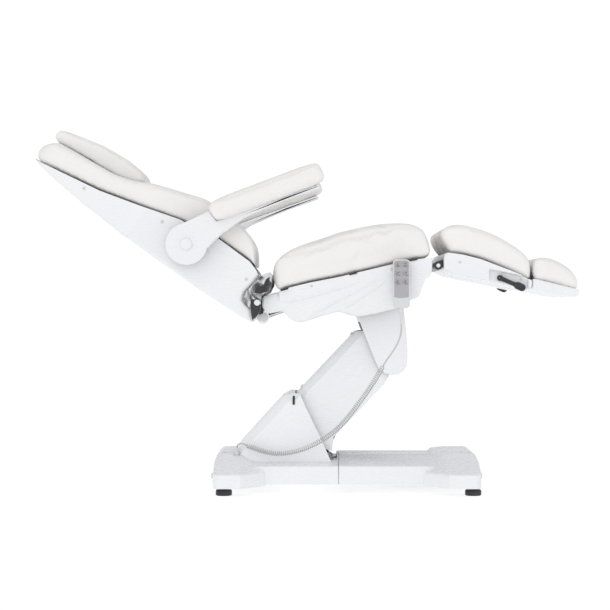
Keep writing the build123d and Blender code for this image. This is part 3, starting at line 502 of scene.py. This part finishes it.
def stitches(name, mesh, seam, body):
    """Rows of short stitches on both sides of a seam, lying on the cover."""
    tree = surface_of(mesh)
    bm = bmesh.new()
    for (a, normal), (b, _) in zip(seam, seam[1:] + seam[:1]):
        if not 1e-6 < (b - a).length < 3 * SEAM_STEP:
            continue
        along = (b - a).normalized()
        across = along.cross(normal).normalized()
        for side in (-1, 1):
            shift = across * side * STITCH_OFFSET
            ends = []
            for share in (0.18, 0.5, 0.82):
                spot, spot_normal, _, _ = tree.find_nearest(a.lerp(b, share) + shift)
                lift = THREAD * (0.9 if share == 0.5 else 0.0)
                ends.append(spot + spot_normal * lift)
            tube_rings(bm, ends, THREAD, 6)
    obj = finish_piece(name, to_mesh(bm, name), thread_look, body)
    return obj


def tube_rings(bm, path, radius, sides, radii=None):
    """Adds a closed round tube along points to a bmesh."""
    rings = []
    tangent = (path[1] - path[0]).normalized()
    side = tangent.orthogonal().normalized()
    for index, point in enumerate(path):
        ahead = path[min(index + 1, len(path) - 1)]
        behind = path[max(index - 1, 0)]
        tangent = (ahead - behind).normalized()
        side = (side - tangent * side.dot(tangent)).normalized()
        up = tangent.cross(side)
        r = radii[index] if radii else radius
        rings.append([bm.verts.new(point + r * (math.cos(t) * side + math.sin(t) * up))
                      for t in (2 * math.pi * k / sides for k in range(sides))])
    for one, two in zip(rings, rings[1:]):
        for k in range(sides):
            bm.faces.new((one[k], one[(k + 1) % sides], two[(k + 1) % sides], two[k]))
    bm.faces.new(list(reversed(rings[0])))
    bm.faces.new(rings[-1])


# ---------------------------------------------------------------- cords
LEAD_RADIUS = 2.4 * MM
WIRE_RADIUS = 1.5 * MM
CURL_RADIUS = 6.7 * MM         # from the middle of the curl to the middle of its wire
CURL_PITCH = 6.6 * MM
CURL_STEPS = 14                # points in each turn

RELIEF_END = (0.291, -0.310, 0.524)
LEAD_ROUTE = [RELIEF_END, (0.291, -0.310, 0.500), (0.285, -0.311, 0.477), (0.274, -0.309, 0.455),
              (0.260, -0.304, 0.433), (0.247, -0.298, 0.416), (0.238, -0.292, 0.400)]
CURL_ROUTE = [(0.238, -0.292, 0.400), (0.220, -0.280, 0.368), (0.200, -0.269, 0.334),
              (0.173, -0.255, 0.295), (0.143, -0.239, 0.253), (0.108, -0.222, 0.210),
              (0.066, -0.205, 0.175), (0.016, -0.190, 0.146), (-0.038, -0.181, 0.127),
              (-0.092, -0.176, 0.122), (-0.142, -0.172, 0.133), (-0.184, -0.165, 0.150)]
TAIL_ROUTE = [(-0.184, -0.165, 0.150), (-0.196, -0.161, 0.1545), (-0.207, -0.155, 0.152),
              (-0.212, -0.150, 0.142)]


def route_points(name, route):
    """The smooth line of a route: a NURBS spline with the route as its control points."""
    curve = bpy.data.curves.new(name, "CURVE")
    curve.dimensions = "3D"
    curve.resolution_u = 16
    spline = curve.splines.new("NURBS")
    spline.points.add(len(route) - 1)
    for point, place in zip(spline.points, route):
        point.co = (*place, 1)
    spline.order_u = 3
    spline.use_endpoint_u = True
    holder = bpy.data.objects.new(name, curve)
    scene.collection.objects.link(holder)
    bpy.context.view_layer.update()
    line = [v.co.copy() for v in bpy.data.meshes.new_from_object(holder).vertices]
    bpy.data.objects.remove(holder)
    return line


def length_of(line):
    return sum((b - a).length for a, b in zip(line, line[1:]))


def cord_piece(name, line, radius, sides=12):
    """A round cord along a line, as a mesh tube."""
    bm = bmesh.new()
    tube_rings(bm, line, radius, sides)
    return finish_piece(name, to_mesh(bm, name), LOOKS["cordskin"], None, (), 60)


def curl_line(line):
    """A helix round a line that starts and ends on the line itself."""
    total = length_of(line)
    turns = round(total / CURL_PITCH)
    even = even_points(line, total / (turns * CURL_STEPS))
    side = (even[1] - even[0]).orthogonal().normalized()
    helix = []
    for index, point in enumerate(even):
        tangent = (even[min(index + 1, len(even) - 1)] - even[max(index - 1, 0)]).normalized()
        side = (side - tangent * side.dot(tangent)).normalized()
        up = tangent.cross(side)
        ends = min(index, len(even) - 1 - index) / CURL_STEPS
        r = CURL_RADIUS * min(1.0, ends / 1.2)
        angle = 2 * math.pi * index / CURL_STEPS
        helix.append(point + r * (math.cos(angle) * side + math.sin(angle) * up))
    return helix


lead_line = route_points("lead_route", LEAD_ROUTE)
third = len(lead_line) // 3
LEAD_PARTS = (("lead_top", 0, third, "handset", "seat"),
              ("lead_middle", third, 2 * third, "seat", "carriage"),
              ("lead_low", 2 * third, len(lead_line) - 1, "carriage", "lift_arm"))
for part_name, first, last, above, below in LEAD_PARTS:
    stretch = lead_line[first:last + 1]
    lead = cord_piece(part_name, stretch, LEAD_RADIUS)
    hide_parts("cord_lead")
    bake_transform(lead)

curl = curl_line(route_points("curl_route", CURL_ROUTE))
curl_piece = cord_piece("curly_cord", curl, WIRE_RADIUS, 8)
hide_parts("cord_coil")
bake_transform(curl_piece)

tail_line = route_points("tail_route", TAIL_ROUTE)
tail = cord_piece("cord_tail", tail_line, LEAD_RADIUS)
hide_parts("cord_coil")
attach(tail, "base")

# ---------------------------------------------------------------- moulded covers
SHELLS = {
    "base_cover_head": ("base", 5), "base_cover_foot": ("base", 5), "column_cover": ("base", 4),
    "lift_arm_cover": ("lift_arm", 5), "carriage_cover": ("carriage", 3.5),
    "seat_pan": ("seat", 8), "back_shell": ("backrest", 10),
}
for side in ("near", "far"):
    SHELLS[f"armrest_bar_{side}"] = (f"armrest_{side}", 7)
    SHELLS[f"leg_shell_{side}"] = (f"leg_{side}", 6)
    SHELLS[f"foot_shell_{side}"] = (f"foot_{side}", 5)
SHELL_OBJECTS = {node: rounded_shell(node, body, radius * MM)
                 for node, (body, radius) in SHELLS.items()}

# ---------------------------------------------------------------- cushions
BACK_TILT = math.radians(-36.3)
ARMREST_TILT = math.radians(-20.0)
LEG_TILT = math.radians(11.0)
cushion("seat_cushion", "seat", smoothing=40)
cushion("back_cushion", "backrest", BACK_TILT, smoothing=36)
cushion("head_pillow", "pillow", BACK_TILT, smoothing=22, cap=4 * MM, seam_inset=7 * MM)
for side in ("near", "far"):
    cushion(f"armrest_pad_{side}", f"armrest_{side}", ARMREST_TILT, smoothing=16, cap=3 * MM,
            seam_inset=7 * MM, corner=0.03)
    cushion(f"leg_cushion_{side}", f"leg_{side}", LEG_TILT, smoothing=30)
    cushion(f"foot_cushion_{side}", f"foot_{side}", LEG_TILT, smoothing=22, cap=4 * MM)

# ---------------------------------------------------------------- small fittings
def revolve(bm, place, axis, profile, sides=24):
    """Adds a turned shape: profile holds (radius, height along the axis) from the bottom up."""
    axis = axis.normalized()
    side = axis.orthogonal().normalized()
    up = axis.cross(side)
    rings = [[bm.verts.new(place + axis * h + r * (math.cos(t) * side + math.sin(t) * up))
              for t in (2 * math.pi * k / sides for k in range(sides))] for r, h in profile]
    for one, two in zip(rings, rings[1:]):
        for k in range(sides):
            bm.faces.new((one[k], one[(k + 1) % sides], two[(k + 1) % sides], two[k]))
    bm.faces.new(list(reversed(rings[0])))
    bm.faces.new(rings[-1])


def screw_profile(radius, height):
    """A domed screw head with a round drive hole in its middle."""
    return [(radius, -height), (radius, 0.35 * height), (0.93 * radius, 0.7 * height),
            (0.7 * radius, 0.95 * height), (0.42 * radius, height), (0.38 * radius, 0.9 * height),
            (0.36 * radius, 0.3 * height), (0.1 * radius, 0.2 * height)]


def land(surface, x, z, side):
    """The first point and normal of a surface seen from one side of the bed."""
    place, normal, _, _ = surface.ray_cast(Vector((x, side * 1.0, z)), Vector((0, -side, 0)))
    return place, normal


def screw_heads(name, body, shell, spots, radius, height, look):
    """Screw heads on both sides of a cover, at places given in the XZ plane."""
    surface = surface_of(shell.data)
    bm = bmesh.new()
    for x, z in spots:
        for side in (-1, 1):
            place, normal = land(surface, x, z, side)
            if place is not None:
                revolve(bm, place, normal, screw_profile(radius, height))
    return finish_piece(name, to_mesh(bm, name), look, body)


def style_line(bm, surface, route, side, width, height):
    """A soft raised crease that follows a moulding's side along an XZ route."""
    line = even_points([Vector((x, 0, z)) for x, z in route], 4 * MM)
    rows = []
    for index, point in enumerate(line):
        ahead, behind = line[min(index + 1, len(line) - 1)], line[max(index - 1, 0)]
        across = (ahead - behind).normalized().cross(Vector((0, 1, 0)))
        fade = min(1.0, min(index, len(line) - 1 - index) / 8)
        row = []
        for share, lift in ((-1, -0.12), (-0.55, 0.25), (0, 1), (0.55, 0.25), (1, -0.12)):
            spot = point + across * (share * width / 2)
            place, normal = land(surface, spot.x, spot.z, side)
            if place is None:
                break
            row.append(bm.verts.new(place + normal * (lift * height * fade - 0.05 * MM)))
        if len(row) == 5:
            rows.append(row)
    for one, two in zip(rows, rows[1:]):
        for k in range(4):
            bm.faces.new((one[k], one[k + 1], two[k + 1], two[k]))


def flat_plate(name, outlines, thickness, front_y, look, body, bevel=0.0):
    """A thin plate facing -Y from closed XZ outlines; inner outlines are holes."""
    curve = bpy.data.curves.new(name, "CURVE")
    curve.dimensions = "2D"
    curve.fill_mode = "BOTH"
    curve.extrude = thickness / 2 - bevel
    curve.bevel_depth = bevel
    curve.offset = -bevel
    for outline in outlines:
        spline = curve.splines.new("POLY")
        spline.points.add(len(outline) - 1)
        for point, (x, z) in zip(spline.points, outline):
            point.co = (x, z, 0, 1)
        spline.use_cyclic_u = True
    holder = bpy.data.objects.new(name, curve)
    scene.collection.objects.link(holder)
    bpy.context.view_layer.update()
    mesh = bpy.data.meshes.new_from_object(holder)
    bpy.data.objects.remove(holder)
    for vertex in mesh.vertices:
        x, z, depth = vertex.co
        vertex.co = (x, front_y + thickness / 2 - depth, z)
    mesh.update()
    return finish_piece(name, mesh, look, body)


def rounded_outline(x, z, width, height, radius, steps=5):
    """A rounded rectangle's corner points about a middle."""
    out = []
    for sx, sz, start in ((1, 1, 0), (-1, 1, 90), (-1, -1, 180), (1, -1, 270)):
        cx, cz = x + sx * (width / 2 - radius), z + sz * (height / 2 - radius)
        for step in range(steps + 1):
            angle = math.radians(start + 90 * step / steps)
            out.append((cx + radius * math.cos(angle), cz + radius * math.sin(angle)))
    return out


def in_mm(points):
    return [(x * MM, z * MM) for x, z in points]


screw_heads("back_shell_screws", "backrest", SHELL_OBJECTS["back_shell"],
            in_mm([(-673, 937), (-433, 834), (-178, 660)]), 5 * MM, 2 * MM, LOOKS["grey"])
screw_heads("pan_screws", "seat", SHELL_OBJECTS["seat_pan"], in_mm([(20, 640), (262, 690)]),
            4 * MM, 1.5 * MM, LOOKS["grey"])
for side in ("near", "far"):
    shell = SHELL_OBJECTS[f"leg_shell_{side}"]
    screw_heads(f"leg_shell_{side}_screws", f"leg_{side}", shell, in_mm([(470, 712), (656, 660)]),
                4 * MM, 1.5 * MM, LOOKS["grey"])

PAN_LINES = (in_mm([(-76, 587), (-20, 598), (47, 615), (110, 634), (165, 652)]),
             in_mm([(1, 541), (50, 566), (106, 598), (175, 634), (236, 662)]),
             in_mm([(113, 568), (160, 596), (205, 627), (246, 657)]))
bm = bmesh.new()
pan_surface = surface_of(SHELL_OBJECTS["seat_pan"].data)
for route in PAN_LINES:
    for side in (-1, 1):
        style_line(bm, pan_surface, route, side, 8 * MM, 3.6 * MM)
finish_piece("pan_style_lines", to_mesh(bm, "pan_style_lines"), LOOKS["shell"], "seat",
             smooth=80)

# black plates on the rim of the pan, under the cushion's cover: partly clips that hold the cover,
# partly painted shade of the slots between cushion and pan
for index, (x, z, slope) in enumerate(((-62, 629, 16), (146, 677, 13), (329, 719, 10))):
    turn = math.radians(slope)
    for side in (-1, 1):
        outline = []
        for along, up in rounded_outline(0, 0, 24, 5, 2):
            outline.append(((x + along * math.cos(turn) - up * math.sin(turn)) * MM,
                            (z + along * math.sin(turn) + up * math.cos(turn)) * MM))
        front = -288 * MM if side < 0 else 286 * MM
        flat_plate(f"cover_clip_{index + 1}_{'near' if side < 0 else 'far'}", [outline], 2 * MM,
                   front, LOOKS["black"], "seat", 0.3 * MM)

# black plates on both crescent plates of the back hinge: partly the hinge's black end covers,
# partly painted shade of the gaps round the hinge
HINGE_BLACK_AND_SHADE_OUTLINES = ([(-107, 668), (-107, 647), (-116, 638), (-113, 623), (-137, 616), (-155, 619),
                 (-146, 637), (-125, 643), (-119, 659)],
                [(-165, 598), (-165, 567), (-159, 534), (-149, 549), (-135, 564), (-134, 583),
                 (-143, 600)])
for side_name, front in (("near", -297.5 * MM), ("far", 296 * MM)):
    for index, outline in enumerate(HINGE_BLACK_AND_SHADE_OUTLINES):
        flat_plate(f"hinge_cover_{side_name}_{index + 1}", [in_mm(outline)], 1.5 * MM, front,
                   LOOKS["black"], "seat", 0.3 * MM)

def closing_strip(name, profile, spans, body):
    """Thin wall segments that close an opening: an XZ profile of pairs, over crosswise spans."""
    bm = bmesh.new()
    for y0, y1 in spans:
        rows = []
        for outer, inner in profile:
            rows.append([bm.verts.new((x * MM, y * MM, z * MM))
                         for (x, z), y in ((outer, y0), (outer, y1), (inner, y1), (inner, y0))])
        for one, two in zip(rows, rows[1:]):
            for k in range(4):
                bm.faces.new((one[k], one[(k + 1) % 4], two[(k + 1) % 4], two[k]))
        bm.faces.new(list(reversed(rows[0])))
        bm.faces.new(rows[-1])
    bmesh.ops.recalc_face_normals(bm, faces=bm.faces)
    sharp = [e for e in bm.edges if e.calc_face_angle(0) > math.radians(50)]
    bmesh.ops.bevel(bm, geom=sharp, offset=0.8 * MM, segments=2, profile=0.5, affect="EDGES")
    return finish_piece(name, to_mesh(bm, name), LOOKS["shell"], body)


# strips beside the tilt actuator close the carriage cover above the lift arm
closing_strip("carriage_closing_strips",
              [((171, 528), (174.5, 529)), ((163, 550), (166.5, 551)), ((156, 570), (159.5, 571)),
               ((150.5, 586), (154, 587))], ((-145.5, -56), (-14, 145.5)), "carriage")
# ledges beside the lift actuator cover the foot end of the well
closing_strip("well_closing_strips",
              [((103.5, 100.5), (103.5, 97.5)), ((96, 100.5), (96, 97.5)), ((86, 99), (86, 96))],
              ((-129.5, -40), (16, 129.5)), "base")

# rubber buffer at the top of the column cover's near side
flat_plate("column_buffer", [rounded_outline(-35 * MM, 287 * MM, 7 * MM, 28 * MM, 2 * MM)],
           2.5 * MM, -152.5 * MM, LOOKS["black"], "base", 0.4 * MM)

# screws on the top of the lift arm's cover
arm_surface = surface_of(SHELL_OBJECTS["lift_arm_cover"].data)
bm = bmesh.new()
for x in (-9 * MM, 150 * MM):
    for y in (-92 * MM, 92 * MM):
        place, normal, _, _ = arm_surface.ray_cast(Vector((x, y, 1.2)), Vector((0, 0, -1)))
        if place is not None:
            revolve(bm, place, normal, screw_profile(6 * MM, 3 * MM))
finish_piece("arm_cover_screws", to_mesh(bm, "arm_cover_screws"), LOOKS["grey"], "lift_arm")

# white caps on the pin of the back actuator's eye
BACK_EYE = (-133.06, 541.70)
for side_name, y, side in (("near", 15.0, -1), ("far", 55.0, 1)):
    bm = bmesh.new()
    revolve(bm, Vector((BACK_EYE[0] * MM, y * MM, BACK_EYE[1] * MM)), Vector((0, side, 0)),
            [(14 * MM, 0.0), (14 * MM, 2 * MM), (13 * MM, 3.2 * MM), (8 * MM, 4 * MM)], 32)
    finish_piece(f"back_eye_cap_{side_name}", to_mesh(bm, "back_eye_cap"), LOOKS["shell"],
                 "backrest")

# caps on the armrest axles
for side_name, side in (("near", -1), ("far", 1)):
    bm = bmesh.new()
    revolve(bm, Vector((-0.357, side * 0.345, 0.765)), Vector((0, side, 0)),
            [(17 * MM, 0.0), (17 * MM, 6 * MM), (15.5 * MM, 8 * MM), (12 * MM, 9 * MM)], 40)
    finish_piece(f"armrest_cap_{side_name}", to_mesh(bm, "armrest_cap"), LOOKS["shell"],
                 f"armrest_{side_name}")

# ---------------------------------------------------------------- keypad of the handset
HANDSET_X, HANDSET_FRONT = 291.0, -321.0
BUTTON_X, BUTTON_Z, BUTTON_SIZE = (-11.5, 11.5), (703.0, 677.0, 651.0), (16.0, 14.0)
PANEL_TOP, PANEL_LOW, PANEL_HALF = 716.0, 604.0, 22.0
panel = [(-PANEL_HALF, PANEL_LOW + 2)]
panel += [(PANEL_HALF * t / 8, PANEL_LOW + 3 * (t / 8) ** 2 - 1) for t in range(-7, 8)]
panel += [(PANEL_HALF, PANEL_LOW + 2)]
panel += [(x, z) for x, z in rounded_outline(0, PANEL_TOP - 20, 2 * PANEL_HALF, 40, 8)
          if z > PANEL_TOP - 12]
HOLE_WIDTH, HOLE_HEIGHT = BUTTON_SIZE[0] + 0.7, BUTTON_SIZE[1] + 0.7
holes = [rounded_outline(HANDSET_X + x, z, HOLE_WIDTH, HOLE_HEIGHT, 3)
         for z in BUTTON_Z for x in BUTTON_X]
flat_plate("keypad_panel", [in_mm([(HANDSET_X + x, z) for x, z in panel])]
           + [in_mm(hole) for hole in holes], 0.6 * MM, (HANDSET_FRONT - 0.5) * MM, panel_look,
           "handset", 0.12 * MM)


def bar_outline(x0, z0, x1, z1, half):
    """A thin straight stroke."""
    length = math.hypot(x1 - x0, z1 - z0)
    nx, nz = -(z1 - z0) / length * half, (x1 - x0) / length * half
    return [(x0 + nx, z0 + nz), (x0 - nx, z0 - nz), (x1 - nx, z1 - nz), (x1 + nx, z1 + nz)]


def arrow_outline(x, z, up):
    """A small triangle that points up or down."""
    return [(x - 3.4, z - 2.0 * up), (x + 3.4, z - 2.0 * up), (x, z + 2.9 * up)]


ICONS = (
    ("lift", [bar_outline(-6.8, -3.0, 6.8, -3.0, 0.8), bar_outline(-2.8, -5.2, 2.8, -5.2, 0.7)]),
    ("back", [bar_outline(-6.6, 2.2, -1.6, -3.6, 0.8), bar_outline(-1.4, -4.4, 6.8, -4.4, 0.8)]),
    ("tilt", [bar_outline(-6.8, -0.6, 6.8, -4.0, 0.8), bar_outline(-2.2, -5.6, 2.2, -5.6, 0.6)]),
)
for (motion, strokes), z in zip(ICONS, BUTTON_Z):
    for x, word, up in ((BUTTON_X[0], "up", 1), (BUTTON_X[1], "down", -1)):
        shapes = strokes + [arrow_outline(1.5 if motion == "back" else 0, 2.6, up)]
        outlines = [in_mm([(HANDSET_X + x + dx, z + dz) for dx, dz in shape]) for shape in shapes]
        flat_plate(f"icon_{motion}_{word}", outlines, 0.2 * MM, (HANDSET_FRONT - 1.15) * MM,
                   icon_look, f"button_{motion}_{word}")

# ---------------------------------------------------------------- floor and light
bm = bmesh.new()
bmesh.ops.create_circle(bm, cap_ends=True, segments=96, radius=60)
floor = bpy.data.objects.new("floor", to_mesh(bm, "floor"))
floor.data.materials.append(floor_look)
scene.collection.objects.link(floor)

world = bpy.data.worlds.new("studio")
world.use_nodes = True
scene.world = world
world_tree = world.node_tree
background = world_tree.nodes["Background"]
# the studio is brightest on the camera's side and a little darker behind the bed
sky = add(world_tree, "ShaderNodeSeparateXYZ")
link(world_tree, add(world_tree, "ShaderNodeTexCoord").outputs["Generated"], sky.inputs["Vector"])
shade = add(world_tree, "ShaderNodeMix", data_type="RGBA")
# near the horizon it stays bright all round, like the white paper behind the bed
behind = add(world_tree, "ShaderNodeMath", operation="MULTIPLY")
link(world_tree, ramp(world_tree, sky.outputs["Y"], -0.8, 0.9), behind.inputs[0])
link(world_tree, ramp(world_tree, sky.outputs["Z"], 0.12, 0.42), behind.inputs[1])
link(world_tree, behind.outputs[0], shade.inputs["Factor"])
shade.inputs[6].default_value = (0.98, 0.985, 1.0, 1)
shade.inputs[7].default_value = (0.56, 0.565, 0.58, 1)
link(world_tree, shade.outputs[2], background.inputs["Color"])
background.inputs["Strength"].default_value = 0.86
backdrop = world_tree.nodes.new("ShaderNodeBackground")
backdrop.inputs["Color"].default_value = (1, 1, 1, 1)
backdrop.inputs["Strength"].default_value = 1.05
chooser = world_tree.nodes.new("ShaderNodeMixShader")
rays = world_tree.nodes.new("ShaderNodeLightPath")
link(world_tree, rays.outputs["Is Camera Ray"], chooser.inputs["Fac"])
link(world_tree, background.outputs["Background"], chooser.inputs[1])
link(world_tree, backdrop.outputs["Background"], chooser.inputs[2])
link(world_tree, chooser.outputs["Shader"], world_tree.nodes["World Output"].inputs["Surface"])

# broad suns, so the floor stays as even as a studio sweep out to its edge
LIGHTS = (
    ("key", (-0.5, -1.0, 0.7), 50, 0.42, (1.0, 0.995, 0.985)),
    ("side", (0.9, -0.5, 0.6), 60, 0.16, (0.98, 0.99, 1.0)),
)
for light_name, towards, spread, strength, colour in LIGHTS:
    data = bpy.data.lights.new(light_name, "SUN")
    data.angle = math.radians(spread)
    data.energy = strength
    data.color = colour
    light = bpy.data.objects.new(light_name, data)
    light.rotation_euler = Vector(towards).to_track_quat("Z", "Y").to_euler()
    scene.collection.objects.link(light)
scene.view_settings.view_transform = "Standard"
scene.view_settings.look = "None"
